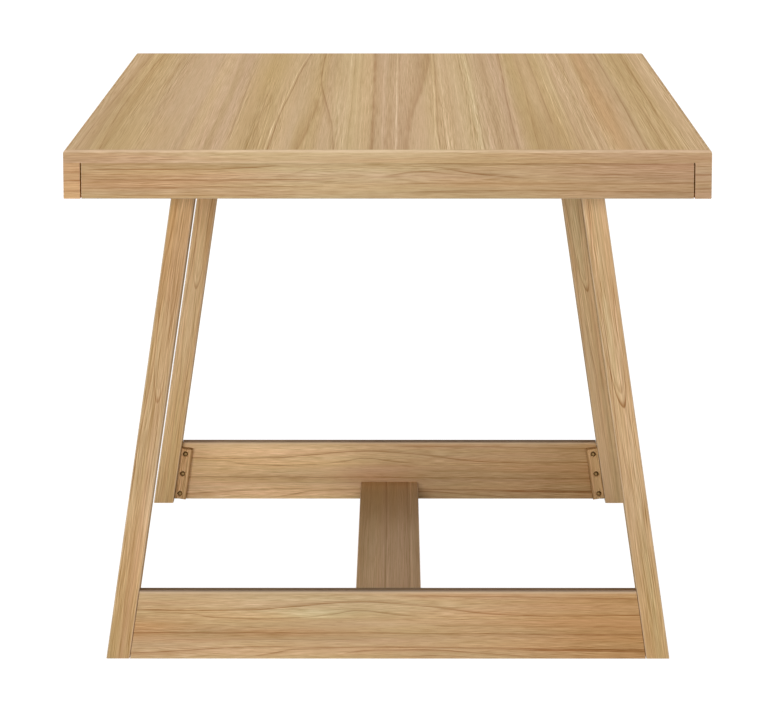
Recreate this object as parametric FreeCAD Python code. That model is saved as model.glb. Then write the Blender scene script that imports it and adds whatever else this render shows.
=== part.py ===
"""Splay-legged trestle dining table, modelled as it comes apart on a bench.

Frame: X across the table, Y along its length, +Z up.
Origin: on the floor, under the middle of the top. The front end is at -Y.
Each repeated piece is drawn once, at the right back corner, and mirrored.
"""
import FreeCAD, Part
import math
import os

from FreeCAD import Vector

# ---- top ----
table_length = 1600.0
table_width = 900.0
table_height = 765.0
panel_thickness = 18.0
lipping_thickness = 6.0
lipping_radius = 5.0
apron_height = 50.0
apron_thickness = 23.0
apron_joint_gap = 1.6
apron_edge_radius = 1.5

# ---- trestles ----
trestle_inset = 180.0
leg_foot_inset = 39.0
leg_head_inset = 149.5
leg_width = 34.0
leg_depth = 64.0
leg_edge_radius = 2.0
stretcher_height = 101.5
stretcher_thickness = 24.0
stretcher_edge_radius = 6.0
stretcher_joint_gap = 0.6
cross_rail_height = 45.0
cross_rail_thickness = 23.0

# ---- centre stretcher and batten ----
centre_stretcher_width = 100.0
centre_stretcher_thickness = 22.0
centre_stretcher_top = 30.0
centre_stretcher_radius = 1.5
batten_width = 40.0
batten_height = 36.0

# ---- cleats and corner blocks ----
cleat_width = 20.0
cleat_thickness = 20.0
cleat_length = 89.0
cleat_floor_gap = 2.0
cleat_edge_radius = 1.0
cleat_screw_pitch = 35.5
cleat_screw_setoff = 8.5
corner_block_size = 38.0
corner_block_height = 40.0
corner_block_chamfer = 8.0
corner_block_screw_spacing = 16.0

# ---- face screws: round heads with a cross recess, in shallow pockets ----
face_screw_radius = 2.0
face_screw_bite = 16.0
face_screw_head_radius = 4.5
face_screw_head_height = 2.6
face_screw_recess = 2.0
face_pocket_radius = 5.6
face_pocket_depth = 2.0

# ---- hidden screws: flat heads, at the bottom of deep pockets ----
hidden_screw_radius = 2.0
hidden_screw_bite = 12.0
hidden_screw_grip = 20.0
hidden_screw_head_radius = 4.0
hidden_screw_head_height = 2.4
hidden_pocket_radius = 5.0
rail_screw_count = 4
batten_screw_count = 5

# ---- dowels ----
drill_clearance = 0.1
dowel_radius = 4.0
apron_dowel_reach = 12.0
apron_dowel_length = 32.0
side_apron_dowel_count = 6
end_apron_dowel_count = 4
rail_dowel_reach = 15.0
rail_dowel_length = 40.0
rail_dowel_spacing = 28.0
stretcher_dowel_reach = 12.0
stretcher_dowel_length = 34.0

# ---- rail bolts and barrel nuts ----
rail_bolt_radius = 3.0
rail_bolt_head_radius = 6.5
rail_bolt_head_height = 3.0
rail_bolt_socket_depth = 2.0
rail_bolt_seat_depth = 8.0
rail_bolt_pocket_radius = 7.5
barrel_nut_radius = 5.0
barrel_nut_length = 16.0
barrel_nut_inset = 30.0

# ---- cam locks ----
cam_radius = 7.5
cam_height = 16.0
cam_inset = 24.0
cam_spacing = 60.0
cam_slot_width = 1.6
cam_slot_depth = 2.0
cam_bolt_radius = 3.4
cam_thread_radius = 2.5
cam_thread_length = 11.0

# ---- leg brackets ----
bracket_reach = 40.0
bracket_width = 20.0
bracket_thickness = 2.5
bracket_bend_radius = 2.0
bracket_hole_margin = 9.0
bracket_hole_spacing = 15.0
plate_screw_radius = 1.9
plate_screw_bite = 12.0
plate_screw_head_radius = 3.8
plate_screw_head_height = 2.2

# ---- places that follow from the sizes above ----
half_length = table_length / 2
half_width = table_width / 2
panel_underside = table_height - panel_thickness
apron_underside = panel_underside - apron_height
apron_inner_x = half_width - apron_thickness
apron_inner_y = half_length - apron_thickness
trestle_outer = half_length - trestle_inset
trestle_inner = trestle_outer - leg_depth
trestle_middle = trestle_outer - leg_depth / 2
stretcher_inner = trestle_outer - stretcher_thickness
cleat_face = stretcher_inner - cleat_thickness
rail_inner = trestle_middle - cross_rail_thickness / 2
rail_outer = trestle_middle + cross_rail_thickness / 2
rail_underside = panel_underside - cross_rail_height
rail_axis = panel_underside - cross_rail_height / 2
lean = (leg_head_inset - leg_foot_inset) / panel_underside
lean_angle = math.atan(lean)

X_AXIS = Vector(1, 0, 0)
Y_AXIS = Vector(0, 1, 0)
Z_AXIS = Vector(0, 0, 1)
UP_THE_LEG = Vector(-math.sin(lean_angle), 0, math.cos(lean_angle))
OFF_THE_LEG = Vector(-math.cos(lean_angle), 0, -math.sin(lean_angle))
SIDES = {"left": -1, "right": 1}
ENDS = {"front": -1, "back": 1}


# ---- shape helpers ----
def block(x0, x1, y0, y1, z0, z1):
    """A box between two corners."""
    return Part.makeBox(x1 - x0, y1 - y0, z1 - z0, Vector(x0, y0, z0))


def rod(radius, start, direction, length):
    """A round bar or a drill, from a point along a direction."""
    return Part.makeCylinder(radius, length, start, direction)


def prism(corners, sweep):
    """A solid swept from a flat outline."""
    return Part.Face(Part.makePolygon(corners + corners[:1])).extrude(sweep)


def slab(outline, y0, y1):
    """A board with an outline of (x, z) corners, between two depths."""
    return prism([Vector(x, y0, z) for x, z in outline], Vector(0, y1 - y0, 0))


def placed(solid, start, direction):
    """A solid drawn along +Z at the origin, moved to a point and direction."""
    solid.Placement = FreeCAD.Placement(start, FreeCAD.Rotation(Z_AXIS, direction))
    return solid


def turned(profile, start, direction):
    """A turned piece: (radius, distance) corners spun about a direction."""
    corners = [Vector(radius, 0, distance) for radius, distance in profile]
    face = Part.Face(Part.makePolygon(corners + corners[:1]))
    return placed(face.revolve(Vector(0, 0, 0), Z_AXIS, 360), start, direction)


def rounded(solid, radius, chosen):
    """The solid with the straight edges that a test picks rounded over."""
    return solid.makeFillet(radius, [edge for edge in solid.Edges if chosen(edge)])


def runs_along(edge, direction):
    """True where a straight edge is parallel to a direction."""
    run = edge.Vertexes[-1].Point - edge.Vertexes[0].Point
    return run.cross(direction).Length < 1e-6 * run.Length


def mirrored(solid, side, end):
    """The right back piece carried over to another corner of the table."""
    if side < 0:
        solid = solid.mirror(Vector(0, 0, 0), X_AXIS)
    if end < 0:
        solid = solid.mirror(Vector(0, 0, 0), Y_AXIS)
    return solid


def both_sides(solids):
    """Each right back solid, and the same on the left."""
    return [mirrored(solid, side, 1) for side in SIDES.values() for solid in solids]


def both_ends(solids):
    """Each back solid, and the same at the front."""
    return [mirrored(solid, 1, end) for end in ENDS.values() for solid in solids]


def four_corners(solids):
    """Each right back solid at all four corners."""
    return both_ends(both_sides(solids))


def evenly(count, low, high):
    """Places at even steps, with half a step left at both ends."""
    step = (high - low) / count
    return [low + step * (index + 0.5) for index in range(count)]


# ---- places on the right legs ----
def leg_outer_x(z):
    """Outer face of the leg at a height."""
    return half_width - leg_foot_inset - lean * z


def leg_inner_x(z):
    """Inner face of the leg at a height."""
    return leg_outer_x(z) - leg_width


def cleat_point(along, across, y):
    """A point of the right back cleat: up its length, then off the leg."""
    foot_z = cleat_floor_gap + cleat_width * math.sin(lean_angle)
    foot = Vector(leg_inner_x(foot_z), y, foot_z)
    return foot + UP_THE_LEG * along + OFF_THE_LEG * across


# ---- fasteners: each call gives the solid and the list of its drills ----
def face_screw(start, direction, grip):
    """Round-headed cross-recess screw, seated in a shallow pocket."""
    seat = start + direction * face_pocket_depth
    crown = seat - direction * face_screw_head_height
    length = grip - face_pocket_depth + face_screw_bite
    ball_radius = (face_screw_head_radius**2 / face_screw_head_height + face_screw_head_height) / 2
    ball = Part.makeSphere(ball_radius, crown + direction * ball_radius)
    head = rod(face_screw_head_radius, crown, direction, face_screw_head_height).common(ball)
    half_arm = face_screw_head_radius / 2
    half_slot = face_screw_recess / 4
    slots = [
        placed(block(-x, x, -y, y, 0, face_screw_recess), crown, direction)
        for x, y in ((half_arm, half_slot), (half_slot, half_arm))
    ]
    screw = head.cut(slots).fuse(rod(face_screw_radius, seat, direction, length)).removeSplitter()
    hole = rod(face_screw_radius + drill_clearance, seat, direction, length)
    pocket = rod(face_pocket_radius, start, direction, face_pocket_depth)
    return screw, [hole, pocket]


def hidden_screw(start, direction, pocket_depth):
    """Flat-headed screw at the bottom of a pocket, or flush where it has none."""
    seat = start + direction * pocket_depth
    length = hidden_screw_grip + hidden_screw_bite

    def outline(spare):
        shank = hidden_screw_radius + spare
        head = hidden_screw_head_radius + spare
        return [(0, 0), (head, 0), (shank, hidden_screw_head_height), (shank, length), (0, length)]

    drills = [turned(outline(drill_clearance), seat, direction)]
    if pocket_depth > 0:
        drills.append(rod(hidden_pocket_radius, start, direction, pocket_depth))
    return turned(outline(0), seat, direction), drills


def plate_screw(start, direction):
    """Short pan-headed screw through a steel plate."""
    length = bracket_thickness + plate_screw_bite
    profile = [
        (0, -plate_screw_head_height),
        (plate_screw_head_radius / 2, -plate_screw_head_height),
        (plate_screw_head_radius, 0),
        (plate_screw_radius, 0),
        (plate_screw_radius, length),
        (0, length),
    ]
    hole = rod(plate_screw_radius + drill_clearance, start, direction, length)
    return turned(profile, start, direction), [hole]


def dowel(start, direction, length):
    """Round hardwood dowel and its hole."""
    hole = rod(dowel_radius + drill_clearance, start, direction, length)
    return rod(dowel_radius, start, direction, length), [hole]


def gathered(fasteners):
    """All the solids of a list of fasteners, and all their drills."""
    solids = [solid for solid, drills in fasteners]
    return solids, [drill for solid, drills in fasteners for drill in drills]


def cleat_face_screws():
    """Right back: through the cleat into the end stretcher."""
    steps = (-cleat_screw_pitch, 0.0, cleat_screw_pitch)
    middle = cleat_length / 2
    starts = [cleat_point(middle + step, cleat_screw_setoff, cleat_face) for step in steps]
    return gathered([face_screw(start, Y_AXIS, cleat_thickness) for start in starts])


def cleat_leg_screws():
    """Right back: through the cleat into the leg, between the face screws."""
    middle = cleat_face + cleat_thickness / 2
    sunk = cleat_width - hidden_screw_grip
    steps = (-cleat_screw_pitch / 2, cleat_screw_pitch / 2)
    starts = [cleat_point(cleat_length / 2 + step, cleat_width, middle) for step in steps]
    return gathered([hidden_screw(start, OFF_THE_LEG * -1, sunk) for start in starts])


def rail_fixing():
    """Right back: the bolt through the leg, its barrel nut and their drills."""
    seat = Vector(leg_outer_x(rail_axis) - rail_bolt_seat_depth, trestle_middle, rail_axis)
    nut_x = leg_inner_x(rail_axis) - barrel_nut_inset
    length = seat.x - nut_x + barrel_nut_radius
    inward = X_AXIS * -1
    head = rod(rail_bolt_head_radius, seat, X_AXIS, rail_bolt_head_height)
    socket_floor = seat + X_AXIS * (rail_bolt_head_height - rail_bolt_socket_depth)
    head = head.cut(rod(rail_bolt_radius, socket_floor, X_AXIS, rail_bolt_socket_depth))
    bolt = head.fuse(rod(rail_bolt_radius, seat, inward, length)).removeSplitter()
    bolt_hole = rod(rail_bolt_radius + drill_clearance, seat, inward, length)
    pocket = rod(rail_bolt_pocket_radius, seat, X_AXIS, leg_outer_x(0) - seat.x)
    nut_start = Vector(nut_x, trestle_middle - barrel_nut_length / 2, rail_axis)
    nut = rod(barrel_nut_radius, nut_start, Y_AXIS, barrel_nut_length).cut(bolt_hole)
    nut_hole = rod(
        barrel_nut_radius + drill_clearance,
        Vector(nut_x, rail_inner, rail_axis),
        Y_AXIS,
        nut_start.y + barrel_nut_length - rail_inner,
    )
    return bolt, nut, [bolt_hole, pocket, nut_hole]


def rail_dowels():
    """Right back: dowels above and below the bolt, from leg into cross rail."""
    heights = (rail_axis - rail_dowel_spacing / 2, rail_axis + rail_dowel_spacing / 2)
    starts = [Vector(leg_inner_x(z) + rail_dowel_reach, trestle_middle, z) for z in heights]
    return gathered([dowel(start, X_AXIS * -1, rail_dowel_length) for start in starts])


def rail_screws():
    """Back: up through the cross rail into the panel, between the barrel nuts."""
    reach = leg_inner_x(rail_axis) - barrel_nut_inset
    sunk = cross_rail_height - hidden_screw_grip
    places = evenly(rail_screw_count, -reach, reach)
    starts = [Vector(x, trestle_middle, rail_underside) for x in places]
    return gathered([hidden_screw(start, Z_AXIS, sunk) for start in starts])


def batten_screws():
    """Up through the batten into the panel."""
    sunk = batten_height - hidden_screw_grip
    places = evenly(batten_screw_count, -rail_inner, rail_inner)
    starts = [Vector(0, y, panel_underside - batten_height) for y in places]
    return gathered([hidden_screw(start, Z_AXIS, sunk) for start in starts])


def corner_block_screws():
    """Right back: one through the block into each apron."""
    sunk = corner_block_size - hidden_screw_grip
    middle = panel_underside - corner_block_height / 2
    step = corner_block_screw_spacing / 2
    face_x = apron_inner_x - corner_block_size
    face_y = apron_inner_y - corner_block_size
    half = corner_block_size / 2
    return gathered([
        hidden_screw(Vector(face_x, face_y + half, middle - step), X_AXIS, sunk),
        hidden_screw(Vector(face_x + half, face_y, middle + step), Y_AXIS, sunk),
    ])


def side_apron_dowels():
    """Right: up from the side apron into the panel."""
    x = half_width - apron_thickness / 2
    top = panel_underside + apron_dowel_reach
    places = evenly(side_apron_dowel_count, -half_length, half_length)
    return gathered([dowel(Vector(x, y, top), Z_AXIS * -1, apron_dowel_length) for y in places])


def end_apron_dowels():
    """Back: up from the end apron into the panel."""
    y = half_length - apron_thickness / 2
    top = panel_underside + apron_dowel_reach
    places = evenly(end_apron_dowel_count, -apron_inner_x, apron_inner_x)
    return gathered([dowel(Vector(x, y, top), Z_AXIS * -1, apron_dowel_length) for x in places])


def bracket_screws():
    """Right back: two into the leg and two up into the panel."""
    far = bracket_reach - bracket_hole_margin
    x = bracket_middle_x()
    screws = []
    for step in (far, far - bracket_hole_spacing):
        on_the_leg = Vector(x, trestle_inner - bracket_thickness, panel_underside - step)
        on_the_panel = Vector(x, trestle_inner - step, panel_underside - bracket_thickness)
        screws.append(plate_screw(on_the_leg, Y_AXIS))
        screws.append(plate_screw(on_the_panel, Z_AXIS))
    return gathered(screws)


def cam_fixing():
    """Right back: cam lock, cam bolt and the drills for both."""
    x = cam_spacing / 2
    z = centre_stretcher_top - centre_stretcher_thickness / 2
    underside = centre_stretcher_top - centre_stretcher_thickness
    end_of_board = Vector(x, stretcher_inner, z)
    towards_cam = Y_AXIS * -1
    shank = rod(cam_bolt_radius, end_of_board, towards_cam, cam_inset)
    thread = rod(cam_thread_radius, end_of_board, Y_AXIS, cam_thread_length)
    shank_hole = rod(cam_bolt_radius + drill_clearance, end_of_board, towards_cam, cam_inset)
    thread_hole = rod(cam_thread_radius + drill_clearance, end_of_board, Y_AXIS, cam_thread_length)
    cam_base = Vector(x, stretcher_inner - cam_inset, underside)
    half_slot = cam_slot_width / 2
    slot = block(
        x - cam_radius,
        x + cam_radius,
        cam_base.y - half_slot,
        cam_base.y + half_slot,
        underside,
        underside + cam_slot_depth,
    )
    cam = rod(cam_radius, cam_base, Z_AXIS, cam_height).cut([shank_hole, slot])
    cam_hole = rod(cam_radius + drill_clearance, cam_base, Z_AXIS, cam_height)
    return cam, shank.fuse(thread).removeSplitter(), [shank_hole, thread_hole, cam_hole]


def stretcher_dowel():
    """Back: dowel between the cam locks, from end stretcher to centre stretcher."""
    z = centre_stretcher_top - centre_stretcher_thickness / 2
    start = Vector(0, stretcher_inner + stretcher_dowel_reach, z)
    return gathered([dowel(start, Y_AXIS * -1, stretcher_dowel_length)])


# ---- wooden pieces ----
def whole_top(drills):
    """The drilled panel and its lippings, before they are parted."""
    board = block(
        -half_width, half_width, -half_length, half_length, panel_underside, table_height
    )
    upper_rim = lambda edge: edge.BoundBox.ZMin > table_height - panel_thickness / 2
    return rounded(board, lipping_radius, upper_rim).cut(drills)


def panel_core(top):
    """The panel inside the lippings."""
    x = half_width - lipping_thickness
    y = half_length - lipping_thickness
    return top.common(block(-x, x, -y, y, panel_underside, table_height))


def lipping(top, long_side):
    """Right or back lipping, mitred at both ends."""
    x = half_width
    y = half_length
    t = lipping_thickness
    if long_side:
        outline = [(x, -y), (x, y), (x - t, y - t), (x - t, t - y)]
    else:
        outline = [(x, y), (-x, y), (t - x, y - t), (x - t, y - t)]
    corners = [Vector(px, py, panel_underside) for px, py in outline]
    return top.common(prism(corners, Z_AXIS * panel_thickness))


def side_apron(drills):
    """Right apron, as long as the table."""
    board = block(
        apron_inner_x, half_width, -half_length, half_length, apron_underside, panel_underside
    )
    lower_outer = lambda edge: (
        runs_along(edge, Y_AXIS)
        and edge.BoundBox.XMin > apron_inner_x + apron_thickness / 2
        and edge.BoundBox.ZMax < apron_underside + apron_height / 2
    )
    return rounded(board, apron_edge_radius, lower_outer).cut(drills)


def end_apron(drills):
    """Back apron, let in between the side aprons with a shadow gap."""
    x = apron_inner_x - apron_joint_gap
    board = block(-x, x, apron_inner_y, half_length, apron_underside, panel_underside)
    lower_outer = lambda edge: (
        runs_along(edge, X_AXIS)
        and edge.BoundBox.YMin > apron_inner_y + apron_thickness / 2
        and edge.BoundBox.ZMax < apron_underside + apron_height / 2
    )
    return rounded(board, apron_edge_radius, lower_outer).cut(drills)


def corner_block(drills):
    """Right back block behind the apron corner, chamfered where hands reach."""
    x = apron_inner_x - corner_block_size
    y = apron_inner_y - corner_block_size
    cut = corner_block_chamfer
    outline = [
        (x + cut, y),
        (apron_inner_x, y),
        (apron_inner_x, apron_inner_y),
        (x, apron_inner_y),
        (x, y + cut),
    ]
    corners = [Vector(px, py, panel_underside) for px, py in outline]
    return prism(corners, Z_AXIS * -corner_block_height).cut(drills)


def leg(drills):
    """Right back leg, cut level with the floor and the panel's underside."""
    outline = [
        (leg_outer_x(0), 0),
        (leg_outer_x(panel_underside), panel_underside),
        (leg_inner_x(panel_underside), panel_underside),
        (leg_inner_x(0), 0),
    ]
    board = slab(outline, trestle_inner, trestle_outer)
    long_edges = lambda edge: runs_along(edge, UP_THE_LEG)
    return rounded(board, leg_edge_radius, long_edges).cut(drills)


def cross_rail(drills):
    """Back upper rail, cut to the lean of the legs that it meets."""
    low = leg_inner_x(rail_underside)
    high = leg_inner_x(panel_underside)
    outline = [
        (low, rail_underside),
        (high, panel_underside),
        (-high, panel_underside),
        (-low, rail_underside),
    ]
    return slab(outline, rail_inner, rail_outer).cut(drills)


def end_stretcher(drills):
    """Back stretcher on edge at the floor, with a hairline gap at each leg."""
    low = leg_inner_x(0) - stretcher_joint_gap
    high = leg_inner_x(stretcher_height) - stretcher_joint_gap
    outline = [(low, 0), (high, stretcher_height), (-high, stretcher_height), (-low, 0)]
    board = slab(outline, stretcher_inner, trestle_outer)
    upper_edges = lambda edge: (
        runs_along(edge, X_AXIS) and edge.BoundBox.ZMin > stretcher_height / 2
    )
    return rounded(board, stretcher_edge_radius, upper_edges).cut(drills)


def stretcher_cleat(drills):
    """Right back cleat, square in section, along the leg."""
    corners = ((0, 0), (cleat_length, 0), (cleat_length, cleat_width), (0, cleat_width))
    points = [cleat_point(along, across, cleat_face) for along, across in corners]
    board = prism(points, Y_AXIS * cleat_thickness)
    face_edges = lambda edge: edge.BoundBox.YMax < cleat_face + cleat_thickness / 2
    return rounded(board, cleat_edge_radius, face_edges).cut(drills)


def centre_stretcher(drills):
    """Flat board between the two end stretchers, just off the floor."""
    half = centre_stretcher_width / 2
    underside = centre_stretcher_top - centre_stretcher_thickness
    board = block(
        -half, half, -stretcher_inner, stretcher_inner, underside, centre_stretcher_top
    )
    long_edges = lambda edge: runs_along(edge, Y_AXIS)
    return rounded(board, centre_stretcher_radius, long_edges).cut(drills)


def centre_batten(drills):
    """Stiffener under the middle of the panel, between the cross rails."""
    half = batten_width / 2
    underside = panel_underside - batten_height
    return block(-half, half, -rail_inner, rail_inner, underside, panel_underside).cut(drills)


def bracket_middle_x():
    """Middle of the right leg, at the middle of its bracket's height."""
    return leg_inner_x(panel_underside - bracket_reach / 2) + leg_width / 2


def leg_bracket(drills):
    """Right back steel angle, from the leg's inner face to the panel."""
    y = trestle_inner
    z = panel_underside
    thickness = bracket_thickness
    outline = [
        (y, z),
        (y - bracket_reach, z),
        (y - bracket_reach, z - thickness),
        (y - thickness, z - thickness),
        (y - thickness, z - bracket_reach),
        (y, z - bracket_reach),
    ]
    x = bracket_middle_x() - bracket_width / 2
    plate = prism([Vector(x, py, pz) for py, pz in outline], X_AXIS * bracket_width)
    bend = lambda edge: (
        runs_along(edge, X_AXIS)
        and abs(edge.BoundBox.YMax - (y - thickness)) < thickness / 2
        and abs(edge.BoundBox.ZMax - (z - thickness)) < thickness / 2
    )
    return rounded(plate, bracket_bend_radius, bend).cut(drills)


# ---- every node: its name and its solids ----
def build():
    """Makes each piece with the drills of whatever passes through it."""
    face_screws, face_drills = cleat_face_screws()
    leg_screws, leg_screw_drills = cleat_leg_screws()
    bolt, nut, bolt_drills = rail_fixing()
    joint_dowels, joint_drills = rail_dowels()
    into_rail_screws, rail_drills = rail_screws()
    into_batten_screws, batten_drills = batten_screws()
    block_screws, block_drills = corner_block_screws()
    side_dowels, side_drills = side_apron_dowels()
    end_dowels, end_drills = end_apron_dowels()
    plate_screws, plate_drills = bracket_screws()
    cam, cam_bolt, cam_drills = cam_fixing()
    low_dowels, low_drills = stretcher_dowel()

    panel_drills = both_sides(side_drills) + both_ends(end_drills + rail_drills)
    panel_drills += four_corners(plate_drills) + batten_drills
    top = whole_top(panel_drills)
    right_back = {
        "leg": leg(leg_screw_drills + bolt_drills + joint_drills + plate_drills),
        "stretcher_cleat": stretcher_cleat(face_drills + leg_screw_drills),
        "corner_block": corner_block(block_drills),
    }
    back = {
        "end_apron": end_apron(end_drills + both_sides(block_drills)),
        "lipping": lipping(top, long_side=False),
        "end_stretcher": end_stretcher(both_sides(face_drills + cam_drills) + low_drills),
        "cross_rail": cross_rail(both_sides(bolt_drills + joint_drills) + rail_drills),
    }
    right = {
        "side_apron": side_apron(side_drills + both_ends(block_drills)),
        "lipping": lipping(top, long_side=True),
    }
    nodes = {
        "top_panel": [panel_core(top)],
        "centre_stretcher": [centre_stretcher(four_corners(cam_drills) + both_ends(low_drills))],
        "centre_batten": [centre_batten(batten_drills)],
        "cleat_face_screws": four_corners(face_screws),
        "cleat_leg_screws": four_corners(leg_screws),
        "rail_bolts": four_corners([bolt]),
        "rail_barrel_nuts": four_corners([nut]),
        "rail_dowels": four_corners(joint_dowels),
        "rail_screws": both_ends(into_rail_screws),
        "batten_screws": into_batten_screws,
        "corner_block_screws": four_corners(block_screws),
        "apron_dowels": both_sides(side_dowels) + both_ends(end_dowels),
        "leg_brackets": four_corners([leg_bracket(plate_drills)]),
        "bracket_screws": four_corners(plate_screws),
        "stretcher_cam_locks": four_corners([cam]),
        "stretcher_cam_bolts": four_corners([cam_bolt]),
        "stretcher_dowels": both_ends(low_dowels),
    }
    for end_name, end in ENDS.items():
        for name, solid in back.items():
            nodes[f"{name}_{end_name}"] = [mirrored(solid, 1, end)]
        for side_name, side in SIDES.items():
            for name, solid in right_back.items():
                nodes[f"{name}_{end_name}_{side_name}"] = [mirrored(solid, side, end)]
    for side_name, side in SIDES.items():
        for name, solid in right.items():
            nodes[f"{name}_{side_name}"] = [mirrored(solid, side, 1)]
    return nodes


os.makedirs("parts", exist_ok=True)
for node, solids in build().items():
    shape = solids[0] if len(solids) == 1 else Part.makeCompound(solids)
    shape.exportStep(f"parts/{node}.step")
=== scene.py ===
"""Looks of the splay-legged oak trestle table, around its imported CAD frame."""
import math

import bpy
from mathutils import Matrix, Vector


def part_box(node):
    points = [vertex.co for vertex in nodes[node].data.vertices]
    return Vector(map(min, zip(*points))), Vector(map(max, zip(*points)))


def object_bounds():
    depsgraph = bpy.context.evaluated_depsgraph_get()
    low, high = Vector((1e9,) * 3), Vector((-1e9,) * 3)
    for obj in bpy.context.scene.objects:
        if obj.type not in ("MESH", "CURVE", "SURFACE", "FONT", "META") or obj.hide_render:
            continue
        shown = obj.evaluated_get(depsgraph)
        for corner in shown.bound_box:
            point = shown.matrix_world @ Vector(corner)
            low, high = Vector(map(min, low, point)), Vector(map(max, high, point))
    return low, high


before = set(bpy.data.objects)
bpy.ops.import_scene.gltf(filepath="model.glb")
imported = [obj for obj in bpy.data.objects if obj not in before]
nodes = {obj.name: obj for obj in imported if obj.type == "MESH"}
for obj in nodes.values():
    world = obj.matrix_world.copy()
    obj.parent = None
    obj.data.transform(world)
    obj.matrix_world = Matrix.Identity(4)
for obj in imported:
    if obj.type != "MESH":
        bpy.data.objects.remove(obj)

cad_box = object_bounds()
MM = 0.001
X = Vector((1, 0, 0))
Y = Vector((0, 1, 0))
Z = Vector((0, 0, 1))

# ---- camera: seen from one short end, a little above ----
LENS_MM = 187.2
SENSOR_MM = 36
CLIP_END = 200
CAMERA_PLACE = (0.0128, -6.4185, 1.3717)
CAMERA_PITCH = math.radians(9.066)
CAMERA_YAW = 0.0013

# ---- lamps: name, degrees round to the right, degrees up, spread in degrees, strength ----
# a strength of 1 alone would show a white face that looks at the lamp as full white
SUNS = (
    ("key", -45, 48, 10, 0.12),
    ("front", -3, 6, 18, 0.64),
    ("back_left", -125, 8, 20, 0.35),
    ("back_right", 125, 8, 20, 0.35),
    ("overhead", 0, 90, 60, 0.36),
)
WORLD_LIGHT = 0.30

# ---- floor: white where it is seen, grey where it lights the table from below ----
FLOOR_HALF_SIZE = 60.0
FLOOR_GREY = 0.50
FLOOR_WHITE = 1.20
FLOOR_SHADOW_SHARE = 0.15


def srgb(red, green, blue):
    """A screen colour, 0 to 255, as the linear colour that shaders take."""
    channels = [c / 255 for c in (red, green, blue)]
    return tuple(c / 12.92 if c <= 0.04045 else ((c + 0.055) / 1.055) ** 2.4 for c in channels)


# ---- colours of oak and metal ----
PINK = srgb(194, 162, 123)
YELLOW = srgb(192, 161, 119)
BROWN = srgb(180, 148, 106)
# the colour of rounded edges: paler where worn, and a painted highlight where the rounding
# catches the light
EDGE_WEAR_AND_HIGHLIGHT = srgb(216, 192, 163)
BRONZE = srgb(146, 118, 76)
ZINC = srgb(196, 196, 192)

# ---- shares of a grain that red, green and blue take ----
LATE_WOOD = (-0.85, -1.15, -1.40)
FIBRES = (0.80, 1.00, 1.38)

# ---- tints that a board's colour is multiplied by; the joint tint is the wood inside an open joint, warmed as painted light bounced in the gap ----
PLAIN = (1.0, 1.0, 1.0)
LILAC = (1.00, 0.99, 1.04)
OLIVE = (0.98, 0.97, 0.89)
PALER = (1.05, 1.05, 1.05)
DEEPER = (0.92, 0.90, 0.86)
REDDISH = (1.00, 0.86, 0.76)
ROSY = (1.04, 0.97, 0.91)
DUSKY = (0.86, 0.77, 0.80)
GREENISH = (1.03, 1.07, 1.04)
PALE_GREEN = (1.12, 1.26, 1.36)
BRIGHT = (1.35, 1.37, 1.40)
SHADED = (0.86, 0.86, 0.95)
AMBER = (0.84, 0.78, 0.62)
GOLDEN = (1.12, 1.06, 0.94)
# a painted shade for the cleats' inner edges
CLEAT_EDGE_SHADE = (0.62, 0.58, 0.52)
PINE = (1.15, 1.18, 1.20)
GAP_BOUNCE_LIGHT = (1.5, 1.0, 0.36)

# ---- noises: feature sizes in mm along, across and into the board, and a salt for each ----
SLOW_WAVER = ((480, 80, 80), 3.1)
QUICK_WAVER = ((90, 12, 12), 7.7)
HUES = ((1300, 45, 60), 9.1)
TONE_BANDS = ((800, 17, 40), 1.3)
CLOUDS = ((210, 42, 42), 6.6)
WARMTH = ((260, 14, 14), 6.1)
PINKNESS = ((200, 11, 11), 3.7)
RING_SHIFTS = ((3000, 24, 24), 4.9)
RING_FADING = ((150, 12, 12), 5.3)
FINE_FIBRES = ((32, 1.1, 1.1), 2.9)
LONG_STREAKS = ((110, 2.3, 2.3), 8.2)
LIVELY_AREAS = ((420, 26, 26), 0.7)
PALE_FLECKS = ((28, 1.6, 1.6), 3.8)
OPEN_PORES = ((10, 0.9, 0.9), 4.4)
LINE_VIGOUR = ((55, 9, 9), 5.9)
METAL_WEAR = ((1.2, 1.2, 1.2), 1.7)

# ---- ramps: the levels that they start and end at, and what they give there if not 0 and 1 ----
PINK_TO_YELLOW = (0.40, 0.60)
INTO_BROWN = (0.52, 0.74, 0.0, 0.7)
RING_RISE = (0.40, 0.93)
RING_FALL = (1.0, 0.95)
RING_STRENGTH = (0.2, 1.0, 0.1, 1.0)
RING_FADE = (0.36, 0.60, 0.1, 1.0)
STREAK_LIVELINESS = (0.36, 0.62, 0.35, 1.25)
FIBRE_LIVELINESS = (0.38, 0.60, 0.75, 1.2)
FLECK = (0.52, 0.68)
PORE = (0.60, 0.72)
VIGOUR = (0.34, 0.60, 0.45, 1.15)
EYE_LOWER_PART = (0.5, -0.6)
EYE_INSIDE = (1.0, 0.7)
PATCH = (1.0, 0.1)
WORN = (0.3, 0.7)

# ---- ramps of a normal's part along a direction, and of the way from a board's middle ----
FACING = (0.70, 0.90)
FACING_INWARD = (-0.80, -0.95)
FACING_UP = (0.35, 0.90)
ROUNDED_EDGE = (1.0, 0.93)
END_JOINT = (0.484, 0.486)

# ---- plain oak: how far its grain moves ----
RING_TILT = 0.35
QUICK_WAVER_MM = 1.4
RING_SHIFT = 2.2
HOLLOW_BESIDE_FLECK_MM = 1.4

# ---- plain oak: how much each feature darkens or pales it ----
FIBRE_CONTRAST = 0.48
STREAK_CONTRAST = 0.48
FLECK_CONTRAST = 0.30
CLOUD_CONTRAST = 0.12
RING_CONTRAST = 0.34
PORE_CONTRAST = 0.09
# for red, green and blue: the shares of warmth and of pinkness
MOTTLE_SHARES = ((0.02, 0.04), (0.0, -0.04), (-0.08, -0.02))

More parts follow.
